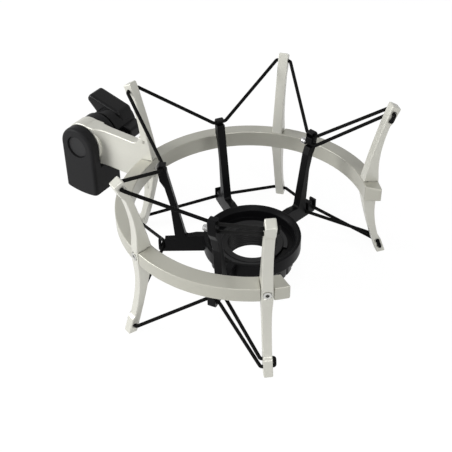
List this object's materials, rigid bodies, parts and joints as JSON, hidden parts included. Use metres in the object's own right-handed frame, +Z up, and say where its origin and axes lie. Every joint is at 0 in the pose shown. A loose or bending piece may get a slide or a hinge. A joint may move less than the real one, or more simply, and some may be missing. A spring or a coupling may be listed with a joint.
{
  "type": "microphone shock mount",
  "caption": "C-shaped metal ring with upright posts that hang a threaded microphone cradle on elastic cord, with a clamped swivel stand adapter at its back.",
  "frame": {"origin": "centre of the mouth of the microphone thread in the locking nut", "axes": "+Z up along the microphone axis, +X out through the ring's opening, -X towards the stand adapter, +Y towards the clamp lever's side"},
  "size_m": [0.1934, 0.161, 0.1033],
  "materials": {
    "frame_paint": "satin champagne silver paint",
    "elastic_rubber": "round black elastic with a woven cover",
    "crimp_metal": "ribbed, bright",
    "cradle_plastic": "semi-matte black moulding",
    "nut_paint": "satin black",
    "swivel_plastic": "fine-grained charcoal moulding",
    "lever_plastic": "semi-gloss black moulding",
    "fastener_steel": "zinc plated",
    "brass_insert": "turned",
    "washer_plastic": "natural acetal"
  },
  "bodies": {
    "frame": {"ring_frame": "frame_paint", "bracket_post": "frame_paint", "post_left": "frame_paint", "post_right": "frame_paint", "post_front_left": "frame_paint", "post_front_right": "frame_paint", "post_screws": "fastener_steel", "upper_elastic": "elastic_rubber", "lower_elastic": "elastic_rubber", "pivot_bush": "washer_plastic"},
    "cradle_unit": {"cradle": "cradle_plastic", "thrust_washer": "washer_plastic", "elastic_crimps": "crimp_metal"},
    "nut_unit": {"locking_nut": "nut_paint", "retaining_ring": "fastener_steel"},
    "swivel_unit": {"swivel_body": "swivel_plastic", "friction_washers": "washer_plastic", "pivot_bolt": "fastener_steel", "pivot_plug": "swivel_plastic", "thread_insert": "brass_insert", "thread_reducer": "brass_insert", "lever_washer": "fastener_steel"},
    "lever_unit": {"clamp_lever": "lever_plastic", "lever_nut": "brass_insert", "lever_cap": "lever_plastic"}
  },
  "joints": [
    {"name": "cradle_float", "type": "slide", "parent": "frame", "child": "cradle_unit", "axis": [0, 0, 1], "range_m": [-0.008, 0.008], "stiffness_N_per_m": 500, "springref_m": 0.001, "deforming": ["upper_elastic", "lower_elastic"]},
    {"name": "nut_turn", "type": "hinge", "parent": "cradle_unit", "child": "nut_unit", "pos_m": [0, 0, 0], "axis": [0, 0, 1], "continuous": true},
    {"name": "swivel_tilt", "type": "hinge", "parent": "frame", "child": "swivel_unit", "pos_m": [-0.1205, 0, 0.0262], "axis": [0, 1, 0], "range_deg": [0, 180]},
    {"name": "lever_turn", "type": "hinge", "parent": "swivel_unit", "child": "lever_unit", "pos_m": [-0.1205, 0, 0.0262], "axis": [0, 1, 0], "range_deg": [0, 150]}
  ]
}
